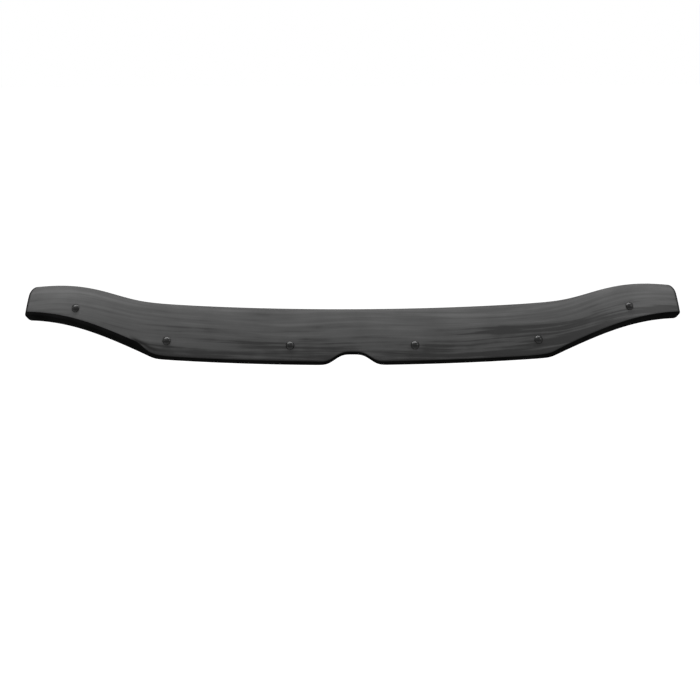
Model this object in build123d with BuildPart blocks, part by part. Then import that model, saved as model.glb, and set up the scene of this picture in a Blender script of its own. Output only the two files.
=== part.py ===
from build123d import *
from math import asin, atan, cos, degrees, exp, log, pi, radians, sin, sqrt
import os

# Hood bug deflector: a thermoformed smoke acrylic shield with a turned-under lip, held to the
# front edge of a hood by six folded steel hook clips.
# +X runs across the car, -Y is forwards, +Z is up. The origin lies on the outside of the shield,
# on the centre line, level with the edge of the lip beside the badge notch.

os.makedirs("parts", exist_ok=True)

# Shield: sheet and plan
half_span = 724.0          # station of each end, across the car
sheet = 3.0                # thickness of the acrylic
bow_depth = 320.0          # semi-axis of the plan ellipse, front to back
bow_overrun = 96.0         # how far the plan ellipse runs on past each end
bow_reach = half_span + bow_overrun

# Shield: section, an arc that leans back over a lip bent under
face_radius = 400.0
face_lean = 21.0           # the arc is upright this far below the origin
fold_radius = 6.0          # outside of the bend
lip_angle = 50.0           # between the lip and the upright
lip_centre = 7.0           # length of the lip along the middle
lip_wing = 17.0            # length of the lip along the wings
lip_notch = 3.0            # length of the lip over the badge notch

# Shield: upper edge
height = 118.5             # at the centre line
upper_bow = 21.7           # rise by half_span that the whole edge shares
crest_rise = 20.8          # hump over each wing
crest_start = 468.0
crest_run = 140.0          # from its start to its top
crest_blend = 23.0         # softness of its start

# Shield: lower edge
lower_bow = 21.4
wing_rise = 55.2
wing_start = 428.5         # the corners where the wings begin
wing_run = 241.0
corner_blend = 5.0
lip_blend = 12.0           # how quickly the lip widens at a corner
notch_rise = 23.0
notch_half = 43.0
notch_power = 3.3          # how square its shoulders are
end_radius_top = 22.0
end_radius_low = 5.0

# Shield: distance between the stations of its sections
step_fine = 8.0
step_coarse = 30.0
step_growth = 0.15
loft_steps = 12            # in each length that is lofted at once

# Fixings: three screws a side, and their heights above the edge of the lip
screw_from_end = 117.0
screw_from_corner = 30.0   # inwards of the corner where a wing begins
screw_from_notch = 90.0    # outwards of the notch's shoulder
screw_stations = (half_span - screw_from_end, wing_start - screw_from_corner, notch_half + screw_from_notch)
fixing_stations = [-s for s in screw_stations] + list(reversed(screw_stations))
fixing_up = 42.2
fixing_up_wing = 44.0
clear = 0.15               # between pieces that bear on each other
play = 0.3                 # round a shank in its hole

# Screw, cup washer and snap cap
screw_radius = 3.0
head_radius = 5.3
head_height = 2.6
head_chamfer = 0.8
drive_across = 3.6         # hex socket
drive_depth = 1.6
washer_radius = 7.0
washer_height = 1.4
washer_floor = 0.6         # under the screw head
snap_taper = 0.5           # how far the washer's rim tapers in below, and the cap's lip under it
cap_height = 6.2
cap_rim = 1.2              # upright part below the dome
cap_wall = 1.8             # at the rim
cap_crown = 1.2            # at the top of the dome
nut_across = 10.0
nut_height = 5.0
thread_gap = 0.1
screw_end = 2.0            # of the shank past its nut

# Rubber spacer between shield and clip
spacer_radius = 8.0
spacer_length = 8.0

# Hook clip, folded from strip
strip = 1.5
strip_width = 22.0
leg_above = 11.0           # front leg above the screw
leg_below = 9.0            # from the screw to the bend that sets the hook upright
hook_drop = 18.0
jaw = 20.0                 # between front leg and hook
hook_rise = 22.0
bend_radius = 3.0          # of the strip's middle line
strip_corner = 4.0

# Jaw: rubber pad, grub screw and square nut
pad_thick = 2.0
pad_width = 18.0
pad_margin = 1.0           # left bare above and below the pad
grub_radius = 3.0
grub_length = 16.0
grub_reach = 5.0           # past the hook, into the jaw
grub_drive_across = 3.0
grub_drive_depth = 4.0
grub_down = 11.0           # below the hook's top
square_across = 10.0
square_height = 5.0


def plan_point(s):
    """Depth behind the origin and turn in radians of the plan ellipse at station s."""
    across = s / bow_reach
    flat = sqrt(1 - across**2)
    return bow_depth * (1 - flat), atan(bow_depth / bow_reach * across / flat)


def station(s):
    """Upright plane across the sheet: its X points to the car and its Y up."""
    depth, turn = plan_point(s)
    return Plane(origin=(s, depth, 0), x_dir=(-sin(turn), cos(turn), 0), z_dir=(cos(turn), sin(turn), 0))


def softened(d, blend):
    """0 before d = 0 and d after it, with the corner rounded over about two blends."""
    return blend * log(1 + exp(min(d / blend, 60))) if d < 60 * blend else d


def upper_edge(s):
    d = abs(s)
    crest = crest_rise * sin(pi / 2 * softened(d - crest_start, crest_blend) / crest_run)
    return height + upper_bow * (d / half_span) ** 2 + crest


def notch_share(s, half):
    return exp(-((abs(s) / half) ** notch_power))


def lower_edge(s):
    d = abs(s)
    wing = wing_rise * sin(pi / 2 * softened(d - wing_start, corner_blend) / wing_run)
    return lower_bow * (d / half_span) ** 2 + wing + notch_rise * notch_share(s, notch_half)


def lip_length(s):
    out = 1 / (1 + exp(-(abs(s) - wing_start) / lip_blend))
    return lip_centre + (lip_wing - lip_centre) * out - (lip_centre - lip_notch) * notch_share(s, 1.4 * notch_half)


def face_angle(z):
    """Lean of the face at height z."""
    return asin((z + face_lean) / face_radius)


def face_depth(z):
    """How far the outside of the face at height z lies behind its station's origin."""
    return face_radius * (cos(face_angle(0)) - cos(face_angle(z)))


def polar(centre, radius, lean):
    """Point on an arc about centre where the outside normal leans back by lean."""
    return (centre[0] - radius * cos(lean), centre[1] + radius * sin(lean))


def face_centre():
    """Centre of the face's arc, in the plane of a station."""
    return (face_radius * cos(face_angle(0)), -face_lean)


def fold_seat(s):
    """Lean of the face where it meets the fold, and the centre of the fold."""
    bend = radians(lip_angle)
    z = lower_edge(s) + lip_length(s) * cos(bend) + fold_radius * sin(bend)
    lean = asin((z + face_lean) / (face_radius - fold_radius))
    return lean, polar(face_centre(), face_radius - fold_radius, lean)


def corner(side, upper):
    """Corner of the left (-1) or right (1) end: a plane whose X runs off the end and whose Y runs
    off the edge, in the sheet there, and how far the edge climbs that Y for each mm inwards."""
    bend = radians(lip_angle)
    across = station(side * half_span)
    edge = upper_edge if upper else lower_edge
    climb = (edge(half_span - sheet) - edge(half_span)) / sheet
    if upper:
        lean = face_angle(upper_edge(half_span))
        x, z = polar(face_centre(), face_radius, lean)
        off = across.x_dir * sin(lean) + across.y_dir * cos(lean)
    else:
        x, z = polar(fold_seat(half_span)[1], fold_radius, -bend)
        x += lip_length(half_span) * sin(bend)
        z -= lip_length(half_span) * cos(bend)
        off = across.x_dir * sin(bend) - across.y_dir * cos(bend)
        climb = -climb
    out = across.z_dir * side
    return Plane(origin=across.from_local_coords((x, z, 0)), x_dir=out, z_dir=out.cross(off)), climb


def fixing(s):
    """Upright plane through a screw's point on the face, like station(s), and the lean there."""
    z = lower_edge(s) + (fixing_up if abs(s) < wing_start else fixing_up_wing)
    side = station(s)
    point = side.from_local_coords((face_depth(z), z, 0))
    return Plane(origin=point, x_dir=side.x_dir, z_dir=side.z_dir), face_angle(z)


def screw_plane(s, behind):
    """Plane square to a screw, this far behind the outside of the shield, looking out."""
    side, lean = fixing(s)
    inward = side.x_dir * cos(lean) - side.y_dir * sin(lean)
    return Plane(origin=side.origin + inward * behind, x_dir=side.z_dir, z_dir=-inward)


def axial_plane(s):
    """Plane along a screw: X is the radius and Y points out of the shield."""
    seat = screw_plane(s, 0)
    return Plane(origin=seat.origin, x_dir=seat.x_dir, z_dir=-seat.y_dir)


def screw_axis(s):
    seat = screw_plane(s, 0)
    return Axis(seat.origin, seat.z_dir)


# Where things lie behind the outside of the shield, along a screw
spacer_at = sheet + clear
leg_at = spacer_at + spacer_length + clear
nut_at = leg_at + strip + clear
shank_end = nut_at + nut_height + screw_end
head_above = clear + washer_floor + clear
cavity_radius = washer_radius + clear
cap_radius = cavity_radius + cap_wall


def hook_line(s):
    """The strip's middle line in fixing(s): down the leg, under, and up the hook."""
    side, lean = fixing(s)
    back = leg_at + strip / 2
    seat = Vector(back * cos(lean), -back * sin(lean))
    along = Vector(sin(lean), cos(lean))
    bend = seat - along * leg_below
    heel = bend - Vector(0, hook_drop)
    toe = heel + Vector(jaw + strip, 0)
    return [seat + along * leg_above, bend, heel, toe, toe + Vector(0, hook_rise)]


def hook_plane(s, behind):
    """Plane square to the grub screw, this far behind the hook's front face, looking back."""
    side, lean = fixing(s)
    top = hook_line(s)[-1]
    origin = side.from_local_coords((top.X - strip / 2 + behind, top.Y - grub_down, 0))
    return Plane(origin=origin, x_dir=-side.z_dir, z_dir=side.x_dir)


def stations():
    """Stations of the sections: close together at the notch and the corners, and wider away."""
    half = [0.0]
    while half[-1] < half_span:
        from_notch = max(0, abs(half[-1] - notch_half) - notch_half)
        from_corner = max(0, abs(half[-1] - wing_start) - 4 * corner_blend)
        half.append(half[-1] + min(step_fine + step_growth * min(from_notch, from_corner), step_coarse))
    fit = half_span / half[-1]
    return [-s * fit for s in half[:0:-1]] + [s * fit for s in half]


def lengths():
    """The stations in lengths of about loft_steps, each of which starts where the last one ends."""
    marks = stations()
    steps = len(marks) - 1
    count = round(steps / loft_steps)
    ends = [steps * k // count for k in range(count + 1)]
    return [marks[first : last + 1] for first, last in zip(ends, ends[1:])]


# Shield
with BuildPart() as shield:
    for length in lengths():
        for s in length:
            centre = face_centre()
            lean_low, fold_centre = fold_seat(s)
            lean_top = face_angle(upper_edge(s))
            face_from = 180 - degrees(lean_top)
            fold_from = 180 - degrees(lean_low)
            fold_sweep = degrees(lean_low) + lip_angle
            with BuildSketch(station(s)):
                with BuildLine():
                    face = CenterArc(centre, face_radius, face_from, fold_from - face_from)
                    fold = CenterArc(fold_centre, fold_radius, fold_from, fold_sweep)
                    lip = PolarLine(fold @ 1, lip_length(s), lip_angle - 90)
                    rear_face = CenterArc(centre, face_radius - sheet, face_from, fold_from - face_from)
                    crook = CenterArc(fold_centre, fold_radius - sheet, fold_from, fold_sweep)
                    rear_lip = PolarLine(crook @ 1, lip_length(s), lip_angle - 90)
                    Line(face @ 0, rear_face @ 0)
                    Line(lip @ 1, rear_lip @ 1)
                make_face()
        loft()
    for side in (-1, 1):
        for upper, radius in ((True, end_radius_top), (False, end_radius_low)):
            plane, climb = corner(side, upper)
            with BuildSketch(plane):
                with BuildLine():
                    middle = (-radius, radius * (climb - sqrt(1 + climb**2)))
                    round_off = CenterArc(middle, radius, 0, 90 - degrees(atan(climb)))
                    Polyline(
                        round_off @ 1,
                        round_off @ 1 + Vector(0, 2 * sheet),
                        Vector(2 * sheet, (round_off @ 1).Y + 2 * sheet),
                        Vector(2 * sheet, middle[1]),
                        round_off @ 0,
                    )
                make_face()
            extrude(amount=2 * sheet, both=True, mode=Mode.SUBTRACT)
    with Locations(*[screw_plane(s, -sheet) for s in fixing_stations]):
        Hole(screw_radius + play, 3 * sheet)

shield.part.label = "shield"
export_step(shield.part, "parts/shield.step")

# Fixings, numbered from the left as seen from the front
for number, s in enumerate(fixing_stations, start=1):
    side, lean = fixing(s)

    # Snap cap: a dome over the screw head, whose lip tapers in under the washer's rim
    top = clear + cap_height
    rim = clear + cap_rim
    with BuildPart() as cap:
        with BuildSketch(axial_plane(s)):
            with BuildLine():
                outside = TangentArc((0, top), (cap_radius, rim), tangent=(1, 0))
                inside = TangentArc((0, top - cap_crown), (cavity_radius, rim + clear), tangent=(1, 0))
                Line(outside @ 0, inside @ 0)
                Polyline(inside @ 1, (cavity_radius - snap_taper, clear), (cap_radius, clear), outside @ 1)
            make_face()
        revolve(axis=screw_axis(s))
    cap.part.label = f"screw_cap_{number}"
    export_step(cap.part, f"parts/screw_cap_{number}.step")

    # Button-head screw
    with BuildPart() as screw:
        with BuildSketch(screw_plane(s, -head_above)):
            Circle(head_radius)
        extrude(amount=head_height)
        top_rim = screw.faces().sort_by(screw_axis(s))[-1].edges()
        chamfer(top_rim, head_chamfer)
        with BuildSketch(screw_plane(s, -head_above - head_height)):
            RegularPolygon(drive_across / 2, 6, major_radius=False)
        extrude(amount=-drive_depth, mode=Mode.SUBTRACT)
        with BuildSketch(screw_plane(s, -head_above)):
            Circle(screw_radius)
        extrude(amount=-head_above - shank_end)
    screw.part.label = f"screw_{number}"
    export_step(screw.part, f"parts/screw_{number}.step")

    # Rubber spacer
    with BuildPart() as spacer:
        with BuildSketch(screw_plane(s, spacer_at)):
            Circle(spacer_radius)
            Circle(screw_radius + play, mode=Mode.SUBTRACT)
        extrude(amount=-spacer_length)
    spacer.part.label = f"spacer_{number}"
    export_step(spacer.part, f"parts/spacer_{number}.step")

    # Hook clip
    with BuildPart() as clip:
        with BuildSketch(side):
            with BuildLine():
                FilletPolyline(*hook_line(s), radius=[2 * bend_radius, bend_radius, bend_radius])
            trace(line_width=strip)
        extrude(amount=strip_width / 2, both=True)
        across_strip = clip.edges().filter_by(lambda e: abs(e.length - strip) < 0.01 * strip)
        fillet(across_strip, strip_corner)
        with Locations(screw_plane(s, leg_at - strip)):
            Hole(screw_radius + play, 3 * strip)
        with Locations(hook_plane(s, 2 * strip)):
            Hole(grub_radius + play, 3 * strip)
    clip.part.label = f"hook_clip_{number}"
    export_step(clip.part, f"parts/hook_clip_{number}.step")

    # Rubber pad on the upright stretch of the front leg, where the hood edge bears
    bend, heel = hook_line(s)[1:3]
    pad_height = hook_drop - bend_radius - 3 * pad_margin
    pad_middle = heel.Y + bend_radius + pad_margin + pad_height / 2
    with BuildPart() as pad:
        with BuildSketch(side):
            with Locations((bend.X + (strip + pad_thick) / 2 + clear, pad_middle)):
                Rectangle(pad_thick, pad_height)
        extrude(amount=pad_width / 2, both=True)
    pad.part.label = f"jaw_pad_{number}"
    export_step(pad.part, f"parts/jaw_pad_{number}.step")

# Cup washers, one group
with BuildPart() as washers:
    for s in fixing_stations:
        with BuildSketch(axial_plane(s)):
            with BuildLine():
                Polyline(
                    (screw_radius + play, clear),
                    (washer_radius - snap_taper, clear),
                    (washer_radius, clear + washer_height),
                    (head_radius + play, clear + washer_height),
                    (head_radius + play, clear + washer_floor),
                    (screw_radius + play, clear + washer_floor),
                    close=True,
                )
            make_face()
        revolve(axis=screw_axis(s))
washers.part.label = "cup_washers"
export_step(washers.part, "parts/cup_washers.step")

# Hex nuts behind the front legs, one group
with BuildPart() as nuts:
    for s in fixing_stations:
        with BuildSketch(screw_plane(s, nut_at)):
            RegularPolygon(nut_across / 2, 6, major_radius=False)
            Circle(screw_radius + thread_gap, mode=Mode.SUBTRACT)
        extrude(amount=-nut_height)
nuts.part.label = "hex_nuts"
export_step(nuts.part, "parts/hex_nuts.step")

# Grub screws through the hooks, one group
with BuildPart() as grubs:
    for s in fixing_stations:
        with BuildSketch(hook_plane(s, -grub_reach)):
            Circle(grub_radius)
        extrude(amount=grub_length)
        with BuildSketch(hook_plane(s, grub_length - grub_reach)):
            RegularPolygon(grub_drive_across / 2, 6, major_radius=False)
        extrude(amount=-grub_drive_depth, mode=Mode.SUBTRACT)
grubs.part.label = "grub_screws"
export_step(grubs.part, "parts/grub_screws.step")

# Square nuts behind the hooks, one group
with BuildPart() as squares:
    for s in fixing_stations:
        with BuildSketch(hook_plane(s, strip + clear)):
            Rectangle(square_across, square_across)
            Circle(grub_radius + thread_gap, mode=Mode.SUBTRACT)
        extrude(amount=square_height)
squares.part.label = "square_nuts"
export_step(squares.part, "parts/square_nuts.step")
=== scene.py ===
import bmesh
import bpy
import numpy as np
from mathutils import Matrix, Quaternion, Vector


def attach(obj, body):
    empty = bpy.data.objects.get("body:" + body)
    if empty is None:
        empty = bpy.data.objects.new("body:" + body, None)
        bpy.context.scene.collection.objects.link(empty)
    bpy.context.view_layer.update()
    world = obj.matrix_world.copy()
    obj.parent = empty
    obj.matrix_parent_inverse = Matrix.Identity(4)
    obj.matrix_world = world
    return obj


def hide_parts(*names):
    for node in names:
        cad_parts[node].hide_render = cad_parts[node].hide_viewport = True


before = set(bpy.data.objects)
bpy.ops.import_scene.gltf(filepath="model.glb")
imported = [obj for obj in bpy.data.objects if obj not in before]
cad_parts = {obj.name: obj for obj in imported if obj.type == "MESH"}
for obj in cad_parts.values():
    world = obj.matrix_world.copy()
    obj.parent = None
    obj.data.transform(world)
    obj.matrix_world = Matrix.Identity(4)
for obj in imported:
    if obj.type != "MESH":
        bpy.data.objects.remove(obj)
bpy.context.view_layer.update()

# Hood bug deflector. Sizes are in mm, on the model's own axes: +X across the car, -Y forwards, +Z up.

# Shield: sheet, plan and section
half_span = 724.0
sheet = 3.0
bow_depth = 320.0
bow_reach = 820.0
face_radius = 400.0
face_lean = 21.0
fold_radius = 6.0
bend = np.radians(50.0)  # between the lip and the upright
lip_centre, lip_wing, lip_notch = 7.0, 17.0, 3.0

# Shield: upper and lower edge
height, upper_bow = 118.5, 21.7
crest_rise, crest_start, crest_run, crest_blend = 20.8, 468.0, 140.0, 23.0
lower_bow, wing_rise, wing_start, wing_run = 21.4, 55.2, 428.5, 241.0
corner_blend, lip_blend = 5.0, 12.0
notch_rise, notch_half, notch_power = 23.0, 43.0, 3.3
end_radius_top, end_radius_low = 22.0, 5.0
edge_round = 0.8  # radius that flame polishing leaves on the cut edges

# Shield: its mesh, and the strip above the left wing's fold that is painted with the lip's shadow
sheet_columns = 640
drawn_in = 70.0  # length at each end over which the rows draw in round the corners
even_share = 0.1  # share of the face, just above the fold, that has even rows
lip_shade_share, half_row = 0.085, 0.005  # shares of the face
lip_shade_end, lip_shade_blend = -458.0, 5.0  # along the sheet
map_height = 112.0  # the map for the colour and its painted light is 1 at the upper edge and 0 this far below it

# Fixings
fixing_stations = (-607.0, -398.5, -133.0, 133.0, 398.5, 607.0)
fixing_up, fixing_up_wing = 42.2, 44.0
clear, play = 0.15, 0.3
screw_radius, head_radius, head_height, head_chamfer = 3.0, 5.3, 2.6, 0.8
drive_across, drive_depth = 3.6, 1.6
washer_radius, washer_floor, snap_taper = 7.0, 0.6, 0.5
cap_height, cap_rim, cap_wall, cap_crown = 6.2, 1.2, 1.8, 1.2
nut_across, nut_height, screw_end = 10.0, 5.0, 2.0
spacer_radius, spacer_length = 8.0, 8.0
strip, strip_width, leg_above, leg_below = 1.5, 22.0, 11.0, 9.0
hook_drop, jaw, hook_rise, bend_radius, strip_corner = 18.0, 20.0, 22.0, 3.0, 4.0
pad_thick, pad_width, pad_margin = 2.0, 18.0, 1.0
grub_radius, grub_length, grub_reach, grub_down = 3.0, 16.0, 5.0, 11.0
grub_drive_across, grub_drive_depth = 3.0, 4.0
square_across, square_height = 10.0, 5.0
pitch, thread_depth, thread_gap = 1.0, 0.55, 0.1  # M6 coarse
thread_slope, crest_flat = 1.25, 0.12  # of the thread's wave
coil_step = pitch / 8
strip_edge = 0.35  # rounding along the strip's edges

spacer_at = sheet + clear
leg_at = spacer_at + spacer_length + clear
nut_at = leg_at + strip + clear
shank_end = nut_at + nut_height + screw_end
head_above = clear + washer_floor + clear
cavity_radius = washer_radius + clear
cap_radius = cavity_radius + cap_wall


def plan_point(s):
    """Depth behind the origin and turn of the plan ellipse at station s:
    depth = bow_depth (1 - sqrt(1 - (s / bow_reach)^2)), and the turn is the angle of its slope."""
    across = s / bow_reach
    flat = np.sqrt(1 - across**2)
    return bow_depth * (1 - flat), np.arctan(bow_depth / bow_reach * across / flat)


def softened(d, blend):
    """0 before d = 0 and d after it: blend times log(1 + e^(d / blend))."""
    return blend * np.logaddexp(0, d / blend)


def upper_edge(s):
    """Height of the upper edge: a parabola along the car, and a quarter sine wave over each wing."""
    d = np.abs(s)
    crest = crest_rise * np.sin(np.pi / 2 * softened(d - crest_start, crest_blend) / crest_run)
    return height + upper_bow * (d / half_span) ** 2 + crest


def notch_share(s, half):
    """1 over the badge notch and 0 away from it: e^-(|s| / half)^notch_power."""
    return np.exp(-((np.abs(s) / half) ** notch_power))


def lower_edge(s):
    """Height of the lip's edge: a parabola, a quarter sine wave up each wing, and the notch."""
    d = np.abs(s)
    wing = wing_rise * np.sin(np.pi / 2 * softened(d - wing_start, corner_blend) / wing_run)
    return lower_bow * (d / half_span) ** 2 + wing + notch_rise * notch_share(s, notch_half)


def lip_length(s):
    """Length of the lip: one soft step at each corner, and a dip over the notch."""
    out = 1 / (1 + np.exp(-(np.abs(s) - wing_start) / lip_blend))
    over_notch = (lip_centre - lip_notch) * notch_share(s, 1.4 * notch_half)
    return lip_centre + (lip_wing - lip_centre) * out - over_notch


def face_angle(z):
    """Lean of the face at height z: the angle whose sine is (z + face_lean) / face_radius."""
    return np.arcsin((z + face_lean) / face_radius)


face_middle = (face_radius * np.cos(face_angle(0)), -face_lean)


def fold_seat(s):
    """Lean where the face meets the fold, and the fold's centre. The fold touches the face's arc
    from inside, so its centre lies face_radius - fold_radius from the face's centre."""
    reach = face_radius - fold_radius
    z = lower_edge(s) + lip_length(s) * np.cos(bend) + fold_radius * np.sin(bend)
    lean = np.arcsin((z + face_lean) / reach)
    return lean, face_middle[0] - reach * np.cos(lean), face_middle[1] + reach * np.sin(lean)


def across_sheet(s, x, z):
    """Points of the upright plane across the sheet at station s, x towards the car and z up."""
    depth, turn = plan_point(s)
    return np.stack([s - x * np.sin(turn), depth + x * np.cos(turn), z + 0 * s], axis=-1)


# Rows of the shield from the lip's edge to the upper edge: part 0 is the lip, 1 the fold and 2 the
# face, with a share from 0 to 1 of that part. Rows crowd towards the upper edge, for its corners,
# and just above the fold.
lip_rows = np.linspace(0, 1, 6)[:-1]
fold_rows = np.linspace(0, 1, 11)[:-1]
even_rows = np.linspace(0, even_share, 11)[:-1]
crowded_rows = 1 - (1 - even_share) * (1 - np.linspace(0, 1, 40)) ** 1.7
face_rows = np.concatenate([even_rows, crowded_rows])
row_part = np.repeat([0, 1, 2], [len(lip_rows), len(fold_rows), len(face_rows)])[:, None]
row_share = np.concatenate([lip_rows, fold_rows, face_rows])[:, None]
on_lip, on_face = row_part == 0, row_part == 2


def skin(s, deep):
    """Points across the sheet at the stations s, one row a line, this deep behind its outside.
    Face and fold are arcs, which keep their centres as their radius shrinks by the depth, and the
    lip is a line that leaves the fold's end at the angle of the bend."""
    lean_low, fold_x, fold_z = fold_seat(s)
    lean_top = face_angle(upper_edge(s)) - edge_round / face_radius
    up_face = lean_low + row_share * (lean_top - lean_low)
    round_fold = -bend + row_share * (lean_low + bend)
    lean = np.where(on_lip, -bend, np.where(on_face, up_face, round_fold))
    run = np.where(on_lip, (lip_length(s) - edge_round) * (1 - row_share), 0)
    radius = np.where(on_face, face_radius, fold_radius) - deep
    x = np.where(on_face, face_middle[0], fold_x) - radius * np.cos(lean) + run * np.sin(bend)
    z = np.where(on_face, face_middle[1], fold_z) + radius * np.sin(lean) - run * np.cos(bend)
    return across_sheet(s, x, z)


def corner_cut(below, radius, climb):
    """How far a row that lies this far below an edge stops short of the end, for a corner of this
    radius on an edge that climbs inwards: the near root of the circle's equation along the row."""
    down = -below - radius * (climb - np.sqrt(1 + climb**2))
    middle = radius - climb * down
    rest = (1 + climb**2) * (down**2 + radius**2 - (radius - edge_round) ** 2)
    root = (middle - np.sqrt(np.maximum(middle**2 - rest, 0))) / (1 + climb**2)
    return np.where(down > 0, root, edge_round)


def row_stations(columns):
    """Stations of the grid, one row a line. Each end of a row is drawn in by what the corner takes
    off it, with a share that grows as the square from 0 to 1."""
    end = np.array([[half_span]])
    turn = plan_point(end)[1]

    def slope(edge):
        return (edge(end - sheet) - edge(end)) / sheet * np.cos(turn)

    lean_low = fold_seat(end)[0]
    lean_top = face_angle(upper_edge(end)) - edge_round / face_radius
    from_top = edge_round + (1 - row_share) * (lean_top - lean_low) * face_radius
    from_lip = edge_round + row_share * (lip_length(end) - edge_round)
    short = np.where(on_face, corner_cut(from_top, end_radius_top, slope(upper_edge)), edge_round)
    short = np.where(on_lip, corner_cut(from_lip, end_radius_low, -slope(lower_edge)), short)
    nominal = np.linspace(-half_span, half_span, columns)[None, :]
    near_end = np.maximum(np.abs(nominal) - (half_span - drawn_in), 0) / drawn_in
    return nominal - np.sign(nominal) * short * np.cos(turn) * near_end**2


def lip_shadow(u):
    """Share of the face above its fold that is painted with the lip's shadow, this far along the
    sheet: lip_shade_share over the left wing, and a soft step down to nothing at the corner."""
    return lip_shade_share / (1 + np.exp((u - lip_shade_end) / lip_shade_blend))


def sheet_mesh(columns):
    """The shield as one closed mesh: an outer and an inner skin on the same grid, joined round the
    cut edge by rings that follow two quarter circles with a flat between them.
    Returns points, faces, each face's finish (0 face, 1 lip and the lip's painted shadow, 2 cut
    edge), each point's place along and up the sheet, and its distances in mm from the end and up from the
    fold."""
    s = row_stations(columns)
    outer, inner = skin(s, 0), skin(s, sheet)
    rows = len(row_share)
    grid = np.arange(rows * columns).reshape(rows, columns)
    loop = np.concatenate([grid[0], grid[1:, -1], grid[-1, -2::-1], grid[-2:0:-1, 0]])
    rim_out, rim_in = outer.reshape(-1, 3)[loop], inner.reshape(-1, 3)[loop]
    along = np.roll(rim_out, -1, axis=0) - np.roll(rim_out, 1, axis=0)
    out = np.cross(along, rim_out - rim_in)
    out /= np.linalg.norm(out, axis=1, keepdims=True)
    quarter = np.radians([30, 60, 90])
    push = np.concatenate([np.sin(quarter), np.sin(quarter[::-1])])
    sink = np.concatenate([1 - np.cos(quarter), sheet / edge_round - 1 + np.cos(quarter[::-1])])
    rings = [
        rim_out + out * p * edge_round + (rim_in - rim_out) * d * edge_round / sheet
        for p, d in zip(push, sink)
    ]
    points = np.concatenate([outer.reshape(-1, 3), *rings, inner.reshape(-1, 3)])

    across = np.stack([grid[:-1, :-1], grid[:-1, 1:], grid[1:, 1:], grid[1:, :-1]], axis=-1)
    across = across.reshape(-1, 4)
    inner_start = rows * columns + len(rings) * len(loop)
    between = rows * columns + np.arange(len(rings) * len(loop)).reshape(len(rings), -1)
    circles = [loop, *between, inner_start + loop]
    bands = [np.stack([b, np.roll(b, -1), np.roll(a, -1), a], axis=-1) for a, b in zip(circles, circles[1:])]
    faces = np.concatenate([across, *bands, inner_start + across[:, ::-1]])

    lean_low = fold_seat(s)[0]
    step = np.diff(s, axis=1)
    arc = np.cumsum(np.hypot(1, np.diff(plan_point(s)[0], axis=1) / step) * step, axis=1)
    arc = np.hstack([np.zeros((rows, 1)), arc])
    u = arc - arc[:, columns // 2, None]
    down = (face_angle(upper_edge(s)) - lean_low) * face_radius
    up = 1 - np.where(on_face, (1 - row_share) * down, down) / map_height
    from_end = np.minimum(arc, arc[:, -1:] - arc)
    from_fold = np.where(on_face, row_share * down, 0)

    # The lip's finish, which is painted shade, also covers the strip above the left wing's fold as the
    # lip's painted shadow. The face's last strip at each end is as dark as the edge that it runs into
    lip = ~on_face[:-1] | (row_share[:-1] + half_row < lip_shadow(u[:-1, :-1]))
    strip_end = np.zeros(columns - 1, bool)
    strip_end[[0, -1]] = True
    front = np.where(lip, 1, np.where(strip_end, 2, 0)).ravel()
    edge_faces = np.full(len(loop) * (len(rings) + 1), 2)
    finish = np.concatenate([front, edge_faces, np.zeros(len(across), int)])

    maps = []
    for pair in ((u, up), (from_end, from_fold)):
        skin_map = np.stack(pair, axis=-1).reshape(-1, 2)
        maps.append(np.concatenate([skin_map, *[skin_map[loop]] * len(rings), skin_map]))
    return points, faces, finish, {"sheet": maps[0], "border": maps[1]}


def tube_faces(rows, around, closed=False):
    """Quads between rows of points that each go round once. A closed tube runs back into its
    first row."""
    index = np.arange(rows * around).reshape(rows, around)
    if closed:
        index = np.vstack([index, index[:1]])
    turned = np.roll(index, -1, axis=1)
    quads = np.stack([index[:-1], turned[:-1], turned[1:], index[1:]], axis=-1)
    return quads.reshape(-1, 4).tolist()


def capped_tube(rows, around):
    """The same, open, with one flat face over each end."""
    last = (rows - 1) * around
    return tube_faces(rows, around) + [list(range(around)), list(range(last, last + around))]


def ring_stack(radius, rise, closed):
    """Points and faces of rings about the Z axis. radius and rise are arrays of rings by turns,
    in mm. A closed stack joins its last ring to its first, and an open one ends in two poles."""
    rings, turns = radius.shape
    angle = 2 * np.pi * np.arange(turns) / turns
    points = np.stack([radius * np.cos(angle), radius * np.sin(angle), rise + 0 * radius], axis=-1)
    points = points.reshape(-1, 3)
    faces = tube_faces(rings, turns, closed)
    if not closed:
        poles = [[0, 0, rise[0].mean()], [0, 0, rise[-1].mean()]]
        low, high = rings * turns, rings * turns + 1
        top = (rings - 1) * turns
        points = np.vstack([points, poles])
        faces += [[low, (k + 1) % turns, k] for k in range(turns)]
        faces += [[high, top + k, top + (k + 1) % turns] for k in range(turns)]
    return points, faces


def polygon_radius(turns, sides, across, corner_first=False):
    """Radius of a regular polygon by angle: half its width across flats over the cosine of the
    angle from the middle of the nearest side."""
    angle = 2 * np.pi * np.arange(turns) / turns
    side = 2 * np.pi / sides
    angle = angle + side / 2 * corner_first
    return across / 2 / np.cos((angle + side / 2) % side - side / 2)


def thread_radius(rise, turns, crest):
    """Radius of a right-hand thread at each height and angle: a triangle wave of rise / pitch less
    the share of a turn, from the crest down by the thread's depth, with a flat root and crest."""
    phase = (rise / pitch - np.arange(turns) / turns) % 1
    return crest - thread_depth * np.clip(thread_slope * np.abs(2 * phase - 1), crest_flat, 1)


def threaded(before, coil, after, crest, turns, closed=False):
    """A stack of rings, each a radius by turns and a height, with a thread at the coil's heights
    between those before it and those after it."""
    rings = [*before, *((thread_radius(z, turns, crest), z) for z in coil), *after]
    return ring_stack(np.array([r for r, z in rings]), np.array([[z] for r, z in rings]), closed)


def fixing_height(s):
    """Height of a screw above the origin: more above the lip's edge out on the wings."""
    return lower_edge(s) + (fixing_up if abs(s) < wing_start else fixing_up_wing)


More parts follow.
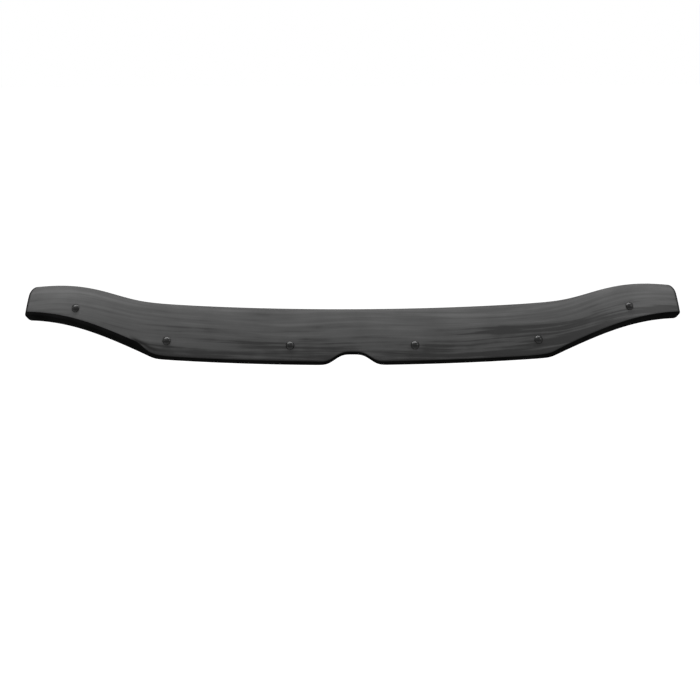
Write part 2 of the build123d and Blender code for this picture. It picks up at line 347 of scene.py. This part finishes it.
def fixing(s):
    """Where a screw's axis crosses the outside of the shield, and its axes: along the sheet,
    up the sheet and outwards."""
    z = fixing_height(s)
    lean = face_angle(z)
    depth, turn = plan_point(s)
    x = face_radius * (np.cos(face_angle(0)) - np.cos(lean))
    point = across_sheet(s, x, z)
    inward = np.array([-np.sin(turn) * np.cos(lean), np.cos(turn) * np.cos(lean), -np.sin(lean)])
    along = np.array([np.cos(turn), np.sin(turn), 0])
    return point, np.stack([along, np.cross(-inward, along), -inward])


def hook_line(s):
    """Corners of the strip's middle line, in the upright plane across the sheet through the screw:
    down the leg, under, and up the hook."""
    lean = face_angle(fixing_height(s))
    back = leg_at + strip / 2
    seat = np.array([back * np.cos(lean), -back * np.sin(lean)])
    along = np.array([np.sin(lean), np.cos(lean)])
    under = seat - along * leg_below
    heel = under - [0, hook_drop]
    toe = heel + [jaw + strip, 0]
    return np.array([seat + along * leg_above, under, heel, toe, toe + [0, hook_rise]])


def upright_axes(s):
    """The screw's point on the sheet, with axes along the sheet, towards the car and up."""
    turn = plan_point(s)[1]
    along, inward = [np.cos(turn), np.sin(turn), 0], [-np.sin(turn), np.cos(turn), 0]
    return fixing(s)[0], np.array([along, inward, [0, 0, 1]])


def grub_axes(s):
    """The grub screw's axis at the hook's front face: along the sheet, up and towards the car."""
    point, axes = upright_axes(s)
    top = hook_line(s)[-1]
    origin = point + (top[0] - strip / 2) * axes[1] + (top[1] - grub_down) * axes[2]
    return origin, np.stack([axes[0], -axes[2], axes[1]])


def put(points, origin, axes):
    """Local points in mm carried to the model's axes."""
    return np.asarray(points) @ axes + origin


def closed_mesh(name, points, faces):
    """A closed mesh in metres, with its faces turned outwards."""
    mesh = bpy.data.meshes.new(name)
    mesh.from_pydata(np.asarray(points) / 1000, [], [list(f) for f in faces])
    shell = bmesh.new()
    shell.from_mesh(mesh)
    bmesh.ops.recalc_face_normals(shell, faces=shell.faces)
    shell.to_mesh(mesh)
    shell.free()
    return mesh


def link(name, data):
    """An object of this data, in the scene."""
    shown = bpy.data.objects.new(name, data)
    bpy.context.scene.collection.objects.link(shown)
    return shown


def make_piece(name, points, faces, finishes, slot, replaced, crease=32, kinds=None, maps=None):
    """A closed piece, riding on the one body, smooth but for edges of more than crease degrees."""
    mesh = closed_mesh(name, points, faces)
    for finish in finishes:
        mesh.materials.append(finish)
    if kinds is not None:
        mesh.polygons.foreach_set("material_index", np.asarray(kinds, dtype=np.int32))
    for layer, place in (maps or {}).items():
        corners = np.empty(len(mesh.loops), dtype=np.int32)
        mesh.loops.foreach_get("vertex_index", corners)
        mesh.uv_layers.new(name=layer).data.foreach_set("uv", place[corners].ravel())
    mesh.shade_smooth()
    mesh.set_sharp_from_angle(angle=np.radians(crease))
    piece = link(name, mesh)
    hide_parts(*replaced)
    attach(piece, "root")
    return piece


# Materials
def linear(code):
    """An sRGB hex colour as the linear values that Blender's sockets take."""
    c = np.array([int(code[i : i + 2], 16) for i in (1, 3, 5)]) / 255
    c = np.where(c <= 0.04045, c / 12.92, ((c + 0.055) / 1.055) ** 2.4)
    return (*map(float, c), 1.0)


def add(tree, kind, values=None, **settings):
    """A node of this kind, with its settings. Its inputs, by name or number, are set to a value, or
    linked to a socket or to another node's first output."""
    node = tree.nodes.new(kind)
    for name, value in settings.items():
        setattr(node, name, value)
    for name, value in (values or {}).items():
        if isinstance(value, bpy.types.Node):
            value = value.outputs[0]
        if isinstance(value, bpy.types.NodeSocket):
            tree.links.new(value, node.inputs[name])
        else:
            node.inputs[name].default_value = value
    return node


def new_finish(name, **values):
    """A material with one Principled BSDF, and these values on its own sockets."""
    finish = bpy.data.materials.new(name)
    finish.use_nodes = True
    surface = finish.node_tree.nodes["Principled BSDF"]
    for socket, value in values.items():
        surface.inputs[socket.replace("_", " ")].default_value = value
    return finish, finish.node_tree, surface


def smoke_acrylic():
    """Smoke-tinted acrylic sheet, drawn over a former: dark grey and softly glossy, made paler towards
    its upper edge by painted light, with long soft streaks of painted reflection that wander
    across it, and a slow waviness in the gloss."""
    finish, tree, surface = new_finish(
        "smoke_acrylic_thermoformed", Roughness=0.3, IOR=1.49, Specular_IOR_Level=0.2
    )

    def drift(source, mark, count, shift, detail):
        """Noise about zero, its marks this many mm long, with this many of them up the sheet."""
        values = {0: source, "Location": shift, "Scale": (1 / mark, count, 1)}
        spot = add(tree, "ShaderNodeMapping", values)
        values = {"Vector": spot, "Scale": 1.0, "Detail": detail, "Roughness": 0.55}
        noise = add(tree, "ShaderNodeTexNoise", values)
        return add(tree, "ShaderNodeMath", {0: noise, 1: 0.5}, operation="SUBTRACT")

    # Places in mm along the sheet from its middle, from the nearer end and up from the fold, and
    # up, which is 1 at the upper edge and 0 at map_height below it
    sheet_map = add(tree, "ShaderNodeUVMap", uv_map="sheet")
    border_map = add(tree, "ShaderNodeUVMap", uv_map="border")
    along, up = add(tree, "ShaderNodeSeparateXYZ", {0: sheet_map}).outputs[:2]
    from_end, above_fold = add(tree, "ShaderNodeSeparateXYZ", {0: border_map}).outputs[:2]
    wander = drift(sheet_map, 420, 1.1, (0.7, 2.2, 0), 1.0)
    bent_up = add(tree, "ShaderNodeMath", {0: wander, 1: 0.3, 2: up}, operation="MULTIPLY_ADD")
    bent = add(tree, "ShaderNodeCombineXYZ", {0: along, 1: bent_up})
    # Streaks of painted reflection, bent as they wander up the sheet
    streaks = drift(bent, 230, 13, (0, 0, 0), 3.0)
    bands = drift(bent, 520, 4, (3.1, 0.4, 0), 2.0)
    patches = drift(sheet_map, 70, 2, (5.2, 1.7, 0), 2.0)

    # A smooth step has five inputs: the place, where the step starts and ends, and its two values.
    # The streaks are painted reflections, deeper towards the right end, which is a little darker as well with
    # painted shade
    smooth = {"interpolation_type": "SMOOTHSTEP"}
    depth = add(tree, "ShaderNodeMapRange", {0: along, 1: -100, 2: 250, 3: 1.5, 4: 1.9}, **smooth)
    right = add(tree, "ShaderNodeMapRange", {0: along, 1: -50, 2: 300, 3: 0.0, 4: -0.1}, **smooth)
    # Painted shade: the face is darker over its lowest 55 mm above the fold
    low = add(tree, "ShaderNodeMapRange", {0: above_fold, 1: 0, 2: 55, 3: -0.05, 4: 0.0}, **smooth)
    # Up the right wing the painted light turns the sheet from darker to paler sooner than elsewhere
    sooner = add(tree, "ShaderNodeMapRange", {0: along, 1: 380, 2: 560, 3: 0.0, 4: 0.6}, **smooth)
    near_top = add(tree, "ShaderNodeMath", {0: up, 1: 0.8}, operation="SUBTRACT")

    # The tone is a sum: paler upwards as painted light, and what each of these adds, times its weight
    tone = add(tree, "ShaderNodeMath", {0: up, 1: 0.7, 2: 0.06}, operation="MULTIPLY_ADD")
    parts = ((streaks, depth), (bands, 1.1), (patches, 0.55), (right, 1.0), (low, 1.0), (near_top, sooner))
    for part, weight in parts:
        tone = add(tree, "ShaderNodeMath", {0: part, 1: weight, 2: tone}, operation="MULTIPLY_ADD")
    ramp = add(tree, "ShaderNodeValToRGB", {0: tone})
    stops = ramp.color_ramp.elements
    stops[0].position, stops[0].color = 0.0, linear("#2c2c2c")
    stops[1].position, stops[1].color = 1.0, linear("#575757")
    for position, code in ((0.25, "#434343"), (0.6, "#4b4b4b")):
        stops.new(position).color = linear(code)

    # The colour darkens over the last millimetres before the ends, and above the fold with painted shade
    # from the lip, which reaches 13 mm up over the left wing and 4 mm elsewhere
    at_end = {0: from_end, 1: 3.0, 2: 7.0, 3: 0.25, 4: 1.0}
    clear_of_end = add(tree, "ShaderNodeMapRange", at_end, **smooth)
    lip_shade_reach = add(tree, "ShaderNodeMapRange", {0: along, 1: -470, 2: -440, 3: 13.0, 4: 4.0}, **smooth)
    at_lip = {0: above_fold, 1: 0.0, 2: lip_shade_reach, 3: 0.4, 4: 1.0}
    clear_of_lip_shade = add(tree, "ShaderNodeMapRange", at_lip, **smooth)

    # Painted shade of a crease: the left wing's fold runs on into the face past its corner as a soft
    # dark line, e^-d^2 of the distance d from its line, 10 mm above the fold, in units of its half
    # width of 4.5 mm
    off_line = add(tree, "ShaderNodeMath", {0: above_fold, 1: 10.0}, operation="SUBTRACT")
    beside = add(tree, "ShaderNodeMath", {0: off_line, 1: 4.5}, operation="DIVIDE")
    square = add(tree, "ShaderNodeMath", {0: beside, 1: beside}, operation="MULTIPLY")
    fall = add(tree, "ShaderNodeMath", {0: square, 1: -1.0}, operation="MULTIPLY")
    crease = add(tree, "ShaderNodeMath", {0: fall}, operation="EXPONENT")
    for start, end, first, last in ((-490, -470, 0.0, 1.0), (-450, -395, 1.0, 0.0)):
        values = {0: along, 1: start, 2: end, 3: first, 4: last}
        inside = add(tree, "ShaderNodeMapRange", values, **smooth)
        crease = add(tree, "ShaderNodeMath", {0: crease, 1: inside}, operation="MULTIPLY")
    clear_of_crease_shade = add(tree, "ShaderNodeMath", {0: crease, 1: -0.85, 2: 1.0}, operation="MULTIPLY_ADD")

    share = clear_of_end
    for clear_of in (clear_of_lip_shade, clear_of_crease_shade):
        share = add(tree, "ShaderNodeMath", {0: share, 1: clear_of}, operation="MULTIPLY")
    grey = add(tree, "ShaderNodeVectorMath", {0: ramp, "Scale": share}, operation="SCALE")
    tree.links.new(grey.outputs[0], surface.inputs["Base Color"])
    wave = add(tree, "ShaderNodeBump", {"Height": bands, "Strength": 0.25, "Distance": 0.0006})
    tree.links.new(wave.outputs[0], surface.inputs["Normal"])
    return finish


def plain_grain(name, dark, light, grain, depth, **values):
    """A finish whose colour drifts between two near tones in patches twelve grains wide, with a
    grain of this size and depth in mm."""
    finish, tree, surface = new_finish(name, **values)
    place = add(tree, "ShaderNodeTexCoord").outputs["Object"]
    patch = 12 * grain
    drift = add(tree, "ShaderNodeTexNoise", {"Vector": place, "Scale": 1000 / patch, "Detail": 4.0})
    ramp = add(tree, "ShaderNodeValToRGB", {0: drift})
    stops = ramp.color_ramp.elements
    stops[0].position, stops[0].color = 0.35, linear(dark)
    stops[1].position, stops[1].color = 0.65, linear(light)
    tree.links.new(ramp.outputs[0], surface.inputs["Base Color"])
    fine = add(tree, "ShaderNodeTexNoise", {"Vector": place, "Scale": 1000 / grain, "Detail": 3.0})
    bump = add(tree, "ShaderNodeBump", {"Height": fine, "Strength": 0.5, "Distance": depth / 1000})
    tree.links.new(bump.outputs[0], surface.inputs["Normal"])
    return finish


acrylic = smoke_acrylic()
# The grains of the other finishes are mostly under a tenth of a millimetre, too fine to show in the
# render, so they are drawn as coarse as they need to show.
# Acrylic lip: the sheet's dark tint taken down to near black with no gloss, as painted shade of the
# lip, which faces down. The same finish paints the lip's shadow above the left wing's fold
lip_shade = plain_grain(
    "smoke_acrylic_lip_painted_shade", "#0b0b0b", "#131313", 6, 0.02,
    Roughness=0.5, IOR=1.49, Specular_IOR_Level=0.0,
)
# Acrylic edge, polished with a flame: a near black line with a soft shine
cut_edge = plain_grain(
    "smoke_acrylic_flame_polished_edge", "#060607", "#0c0c0d", 3, 0.01,
    Roughness=0.25, IOR=1.49, Specular_IOR_Level=0.1,
)
# Nylon, moulded in a polished tool: deep black with a clear highlight
nylon = plain_grain(
    "black_nylon_moulded", "#030303", "#060606", 0.6, 0.02,
    Roughness=0.25, IOR=1.53, Specular_IOR_Level=0.26,
)
# Steel, dipped in a cathodic coat: a black satin film that hides the metal
coated_steel = plain_grain(
    "steel_black_cathodic_coat", "#101011", "#1a1a1b", 0.8, 0.03,
    Roughness=0.42, IOR=1.5,
)
# Steel, bright zinc plated: pale grey metal, softly dulled
zinc = plain_grain(
    "steel_bright_zinc_plated", "#9fa2a4", "#c4c6c6", 0.5, 0.01,
    Roughness=0.33, Metallic=1.0,
)
# EPDM rubber, moulded: matt charcoal with a coarse skin
rubber = plain_grain(
    "epdm_rubber_moulded", "#141414", "#1d1d1c", 0.9, 0.05,
    Roughness=0.72, IOR=1.5,
)


def drill(piece, holes):
    """Cuts round holes right through a piece: each is a point, an axis set and a radius in mm."""
    drills = []
    for number, (origin, axes, radius) in enumerate(holes):
        points, faces = ring_stack(np.full((2, 48), radius), np.array([[-3 * sheet], [3 * sheet]]), False)
        name = f"drill_{number}"
        drills.append(link(name, closed_mesh(name, put(points, origin, axes), faces)))
        cut = piece.modifiers.new(name, "BOOLEAN")
        cut.operation, cut.solver, cut.object = "DIFFERENCE", "EXACT", drills[-1]
    view = bpy.context.evaluated_depsgraph_get()
    cut_mesh = bpy.data.meshes.new_from_object(piece.evaluated_get(view))
    piece.modifiers.clear()
    piece.data = cut_mesh
    for tool in drills:
        bpy.data.objects.remove(tool)


points, faces, kinds, maps = sheet_mesh(sheet_columns)
finishes = [acrylic, lip_shade, cut_edge]
shield = make_piece("shield_sheet", points, faces, finishes, "smoke_acrylic", ["shield"], 40, kinds, maps)
drill(shield, [(*fixing(s), screw_radius + play) for s in fixing_stations])


def snap_cap(turns=96):
    """Rings of a snap cap: an outer dome that is part of a sphere through its apex and its rim, of
    radius (r^2 + h^2) / 2h, a short upright rim, and the same again inside down to the lip that
    snaps under the washer."""
    top, rim = clear + cap_height, clear + cap_rim
    ball = (cap_radius**2 + (top - rim) ** 2) / (2 * (top - rim))
    swing = np.arcsin(cap_radius / ball) * np.linspace(0.015, 1, 30)
    out_r, out_z = ball * np.sin(swing), top - ball + ball * np.cos(swing)
    foot = np.radians([0, 30, 60, 90])
    foot_round = 0.35
    foot_r = cap_radius - foot_round + foot_round * np.cos(foot)
    foot_z = clear + foot_round - foot_round * np.sin(foot)
    roof, sill = top - cap_crown, rim + clear
    inner = (cavity_radius**2 + (roof - sill) ** 2) / (2 * (roof - sill))
    back = np.arcsin(cavity_radius / inner) * np.linspace(1, 0.02, 16)
    snap_radius = cavity_radius - snap_taper
    in_r = np.concatenate([[snap_radius + 0.1, snap_radius], inner * np.sin(back)])
    in_z = np.concatenate([[clear, clear + 0.12], roof - inner + inner * np.cos(back)])
    radius = np.concatenate([out_r, foot_r, in_r])
    rise = np.concatenate([out_z, foot_z, in_z])
    return ring_stack(np.repeat(radius[:, None], turns, axis=1), rise[:, None], False)


def screw_rings(turns=48):
    """Rings of a button-head screw from the floor of its hex socket, over the head, to the tip."""
    top = head_above + head_height
    hexagon = polygon_radius(turns, 6, drive_across, True)
    one = np.ones(turns)
    coil = np.arange(-sheet - 2, 0.9 - shank_end, -coil_step)
    head = [
        (hexagon, top - drive_depth),
        (hexagon, top - 0.2),
        (hexagon + 0.2, top),
        (one * (head_radius - head_chamfer), top),
        (one * (head_radius - 0.3), top - 0.3),
        (one * head_radius, top - head_chamfer),
        (one * head_radius, head_above + 0.2),
        (one * (head_radius - 0.2), head_above),
        (one * screw_radius, head_above),
        (one * screw_radius, -sheet - 1.5),
    ]
    tip = [(one * 2.5, 0.6 - shank_end), (one * 2.2, -shank_end)]
    return threaded(head, coil, tip, screw_radius, turns)


def grub_rings(turns=48):
    """Rings of a grub screw from its flat point to the floor of its hex socket."""
    end = grub_length - grub_reach
    hexagon = polygon_radius(turns, 6, grub_drive_across, True)
    one = np.ones(turns)
    coil = np.arange(0.9 - grub_reach, end - 0.5, coil_step)
    point = [(one * 1.9, -grub_reach), (one * 2.2, 0.2 - grub_reach), (one * 2.4, 0.7 - grub_reach)]
    socket = [
        (one * 2.4, end - 0.2),
        (one * 2.2, end),
        (hexagon + 0.15, end),
        (hexagon, end - 0.2),
        (hexagon, end - grub_drive_depth),
    ]
    return threaded(point, coil, socket, grub_radius, turns)


def nut_rings(sides, across, start, length, chamfers, turns=48):
    """Closed rings of a nut: its flats, cut back by a cone at each chamfered end, and its thread,
    which follows the same wave as the screw's, a little wider."""
    flats = polygon_radius(turns, sides, across, sides == 6)
    inscribed, widest = across / 2, flats.max()
    steps = np.array([0, 0.25, 0.5, 0.75])
    # The cone starts just inside the flats and has passed the corners 0.75 mm in
    cone = [inscribed * 0.98 + (widest - inscribed) * t / 0.6 for t in steps]
    ends = [np.minimum(flats, radius) for radius in cone]
    blunt = [np.minimum(flats, widest * 0.985), flats, flats, flats]
    first = list(zip(ends if chamfers[0] else blunt, start + steps))
    last = list(zip(ends if chamfers[1] else blunt, start + length - steps))[::-1]
    coil = np.arange(start + length - 0.5, start + 0.5, -coil_step)
    mouth = np.full(turns, screw_radius + 0.35)
    outside = [*first, *last, (mouth, start + length)]
    return threaded(outside, coil, [(mouth, start)], screw_radius + thread_gap, turns, True)


def spacer_rings(turns=72):
    """Closed rings of a rubber spacer, whose outside bulges a little between rounded edges."""
    step = np.linspace(0, 1, 9)
    start, end = -spacer_at, -spacer_at - spacer_length
    bore, shoulder = screw_radius + play, spacer_radius - 0.6
    soft, rounding, bulge = 0.3, 0.25, 0.12
    outside = spacer_radius - rounding * (2 * step - 1) ** 8 - bulge * (2 * step - 1) ** 2
    outside_rise = np.clip(start - spacer_length * step, end + soft, start - soft)
    radius = np.concatenate([[shoulder], outside, [shoulder, bore + soft, bore, bore, bore + soft]])
    rise = np.concatenate([[start], outside_rise, [end, end, end + soft, start - soft, start]])
    return ring_stack(np.repeat(radius[:, None], turns, axis=1), rise[:, None], True)


def strip_path(s):
    """The strip's middle line with its bends rounded, and the way its outside faces at each point.
    Each corner's arc starts radius times tan(turn / 2) before it."""
    corners = hook_line(s)
    radii = [2 * bend_radius, bend_radius, bend_radius]
    middle, facing = [], []
    legs = np.diff(corners, axis=0)
    legs /= np.linalg.norm(legs, axis=1, keepdims=True)
    for k, radius in enumerate(radii, start=1):
        before, after = legs[k - 1], legs[k]
        side = np.sign(before[0] * after[1] - before[1] * after[0])
        turn = np.arccos(np.clip(before @ after, -1, 1))
        start = corners[k] - before * radius * np.tan(turn / 2)
        out = -side * np.array([-before[1], before[0]])
        centre = start - out * radius
        angle = side * turn * np.linspace(0, 1, 9)[:, None]
        swung = np.cos(angle) * out + np.sin(angle) * np.array([-out[1], out[0]])
        middle.append(centre + radius * swung)
        facing.append(swung * -side)
    # Closer together towards each end, where the strip's corners are cut
    near = np.array([0, 0.12, 0.4, 0.9, 1.6, 2.6, strip_corner])[:, None]
    first, last = corners[0] + legs[0] * near, corners[-1] - legs[-1] * near[::-1]
    left = [np.tile([-leg[1], leg[0]], (len(near), 1)) for leg in (legs[0], legs[-1])]
    line = np.vstack([first, *middle, last])
    normal = np.vstack([left[0], *facing, left[1]])
    run = np.concatenate([[0], np.cumsum(np.linalg.norm(np.diff(line, axis=0), axis=1))])
    return line, normal, np.minimum(run, run[-1] - run)


def hook_clip(s):
    """A folded strip: a rectangle with rounded edges carried along the strip's middle line, and
    drawn in at both ends as a corner of strip_corner needs: r - sqrt(r^2 - (r - d)^2) at d."""
    line, normal, from_end = strip_path(s)
    d = np.minimum(from_end, strip_corner)
    half = strip_width / 2 - strip_corner + np.sqrt(strip_corner**2 - (strip_corner - d) ** 2)
    quarter = np.radians([0, 30, 60, 90])
    corner_u, corner_v = strip_edge * (np.sin(quarter) - 1), strip_edge * (np.cos(quarter) - 1)
    sign_u = np.repeat([1, 1, -1, -1], 4)
    u = np.concatenate([corner_u, corner_u[::-1], -corner_u, -corner_u[::-1]])
    v = np.concatenate([corner_v, -corner_v[::-1], -corner_v, corner_v[::-1]])
    sign_v = np.repeat([1, -1, -1, 1], 4)
    point, axes = upright_axes(s)
    wide = half[:, None] * sign_u + u
    thick = strip / 2 * sign_v + v
    flat = line[:, None, :] + normal[:, None, :] * thick[..., None]
    points = np.stack([wide, flat[..., 0], flat[..., 1]], axis=-1)
    return put(points.reshape(-1, 3), point, axes), capped_tube(*wide.shape)


def jaw_pad(s):
    """A moulded pad: a superellipse |x / a|^n + |y / b|^n = 1 with n = 9, drawn in towards both
    faces. Its points are a and b times the cosine and sine to the power 2 / n."""
    under, heel = hook_line(s)[1:3]
    tall = hook_drop - bend_radius - 3 * pad_margin
    middle = heel[1] + bend_radius + pad_margin + tall / 2
    angle = 2 * np.pi * np.arange(64) / 64
    cosine, sine = np.cos(angle), np.sin(angle)
    power = 2 / 9
    inset = np.array([[0.5], [0.15], [0], [0], [0.15], [0.5]])
    x = (pad_width / 2 - inset) * np.sign(cosine) * np.abs(cosine) ** power
    z = (tall / 2 - inset) * np.sign(sine) * np.abs(sine) ** power
    deep = np.array([[0], [0.15], [0.5], [pad_thick - 0.5], [pad_thick - 0.15], [pad_thick]]) + 0 * x
    point, axes = upright_axes(s)
    points = np.stack([x, under[0] + strip / 2 + clear + deep, middle + z], axis=-1).reshape(-1, 3)
    return put(points, point, axes), capped_tube(*x.shape)


def group(parts):
    """Several point and face lists as one."""
    points, faces, start = [], [], 0
    for some, their in parts:
        points.append(some)
        faces += [[start + k for k in face] for face in their]
        start += len(some)
    return np.vstack(points), faces


def carried(mesh, frame_of):
    """The same points and faces, put in place at each fixing."""
    return [(put(mesh[0], *frame_of(s)), mesh[1]) for s in fixing_stations]


caps = carried(snap_cap(), fixing)
screws = carried(screw_rings(), fixing)
spacers = carried(spacer_rings(), fixing)
for number, s in enumerate(fixing_stations, start=1):
    make_piece(f"cap_{number}", *caps[number - 1], [nylon], "black_nylon", [f"screw_cap_{number}"], 50)
    make_piece(f"cap_screw_{number}", *screws[number - 1], [zinc], "zinc_steel", [f"screw_{number}"])
    make_piece(f"rubber_spacer_{number}", *spacers[number - 1], [rubber], "rubber", [f"spacer_{number}"], 50)
    clip = make_piece(f"clip_{number}", *hook_clip(s), [coated_steel], "black_steel", [f"hook_clip_{number}"])
    point, axes = fixing(s)
    screw_hole = (point - axes[2] * (leg_at + strip / 2), axes, screw_radius + play)
    drill(clip, [screw_hole, (*grub_axes(s), grub_radius + play)])
    make_piece(f"pad_{number}", *jaw_pad(s), [rubber], "rubber", [f"jaw_pad_{number}"])

hex_nut = nut_rings(6, nut_across, -nut_at - nut_height, nut_height, (True, True))
square_nut = nut_rings(4, square_across, strip + clear, square_height, (False, True))
make_piece("nuts_hex", *group(carried(hex_nut, fixing)), [zinc], "zinc_steel", ["hex_nuts"])
make_piece("nuts_square", *group(carried(square_nut, grub_axes)), [zinc], "zinc_steel", ["square_nuts"])
make_piece("screws_grub", *group(carried(grub_rings(), grub_axes)), [zinc], "zinc_steel", ["grub_screws"])
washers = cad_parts["cup_washers"].data.materials
for place in range(len(washers)):
    washers[place] = nylon


def seen_plainly(tree):
    """1 for camera and transmission rays and 0 for others, and the same for glossy rays."""
    rays = add(tree, "ShaderNodeLightPath").outputs
    kinds = {0: rays["Is Camera Ray"], 1: rays["Is Transmission Ray"]}
    return add(tree, "ShaderNodeMath", kinds, operation="MAXIMUM"), rays["Is Glossy Ray"]


# Stage: a pale floor well below the shield, which hangs as it does in the photograph. Its own
# colour lights the shield, and a glow that only the camera and mirrors see takes it to white.
reach, floor_at = 30, -0.95
seen_glow, mirrored_glow = 0.81, 0.15
floor_mesh = bpy.data.meshes.new("floor")
corners = [(x * reach, y * reach, floor_at) for x, y in ((-1, -1), (1, -1), (1, 1), (-1, 1))]
floor_mesh.from_pydata(corners, [], [(0, 1, 2, 3)])
floor = link("floor", floor_mesh)
paper = bpy.data.materials.new("paper_white_matt")
paper.use_nodes = True
tree = paper.node_tree
tree.nodes.clear()
direct, glossy = seen_plainly(tree)
mirrored = add(tree, "ShaderNodeMath", {0: glossy, 1: mirrored_glow}, operation="MULTIPLY")
glow = add(tree, "ShaderNodeMath", {0: direct, 1: seen_glow, 2: mirrored}, operation="MULTIPLY_ADD")
matt = add(tree, "ShaderNodeBsdfDiffuse", {"Color": linear("#c6c6c6")})
light = add(tree, "ShaderNodeEmission", {"Color": (1, 1, 1, 1), "Strength": glow})
both = add(tree, "ShaderNodeAddShader", {0: matt, 1: light})
add(tree, "ShaderNodeOutputMaterial", {"Surface": both})
floor_mesh.materials.append(paper)

# Room: white where the camera, glass and mirrors see it, and dimmer as a light
room_light = 0.4
world = bpy.data.worlds.new("room")
bpy.context.scene.world = world
world.use_nodes = True
tree = world.node_tree
tree.nodes.clear()
direct, glossy = seen_plainly(tree)
plain = add(tree, "ShaderNodeMath", {0: direct, 1: glossy}, operation="MAXIMUM")
level = add(tree, "ShaderNodeMath", {0: plain, 1: 1 - room_light, 2: room_light}, operation="MULTIPLY_ADD")
sky = add(tree, "ShaderNodeBackground", {"Color": (1, 1, 1, 1), "Strength": level})
add(tree, "ShaderNodeOutputWorld", {"Surface": sky})


def lamp(name, place, aim, width, depth, power):
    """An oblong area lamp in metres and watts."""
    data = bpy.data.lights.new(name, "AREA")
    data.shape, data.size, data.size_y, data.energy = "RECTANGLE", width, depth, power
    shown = link(name, data)
    shown.location = place
    shown.rotation_euler = (Vector(aim) - Vector(place)).to_track_quat("-Z", "Y").to_euler()


# Soft studio light: a broad lamp above on the left, a long one overhead that lights the tops of the
# caps, one at each side and one behind
middle = (0, 0.1, 0.05)
lamp("lamp_above", (-1.8, -1.6, 4.0), middle, 4.0, 2.2, 75)
lamp("lamp_top", (-0.3, 0.05, 2.4), (-0.3, 0.1, 0.05), 4.6, 0.7, 125)
lamp("lamp_left", (-4.4, -1.8, 1.8), middle, 2.4, 2.4, 8)
lamp("lamp_right", (4.4, -1.8, 1.8), middle, 2.4, 2.4, 36)
lamp("lamp_behind", (1.4, 4.2, 2.6), middle, 3.0, 2.2, 190)

# Camera: 6 m from a point on the shield's middle, 8 degrees up, straight on and turned by a hair
tilt, yaw, roll = np.radians(8.0), np.radians(-0.058), np.radians(-0.218)
distance, frame_width, mm_per_pixel = 6, 700, 2.148
pixels_left, pixels_down = 2.52, 15.95  # how far the picture is shifted
look = Vector((np.sin(yaw) * np.cos(tilt), np.cos(yaw) * np.cos(tilt), -np.sin(tilt)))
camera_data = bpy.data.cameras.new("camera")
camera_data.sensor_width = 36
camera_data.lens = 36 * (1000 * distance) / (frame_width * mm_per_pixel)
camera_data.shift_x = -pixels_left / frame_width
camera_data.shift_y = -pixels_down / frame_width
camera_data.clip_end = 200
camera = link("camera", camera_data)
camera.location = Vector((0, 0.08, 0.0571)) - look * distance
camera.rotation_euler = (look.to_track_quat("-Z", "Y") @ Quaternion((0, 0, 1), roll)).to_euler()
bpy.context.scene.camera = camera
bpy.context.scene.view_settings.view_transform = "Standard"
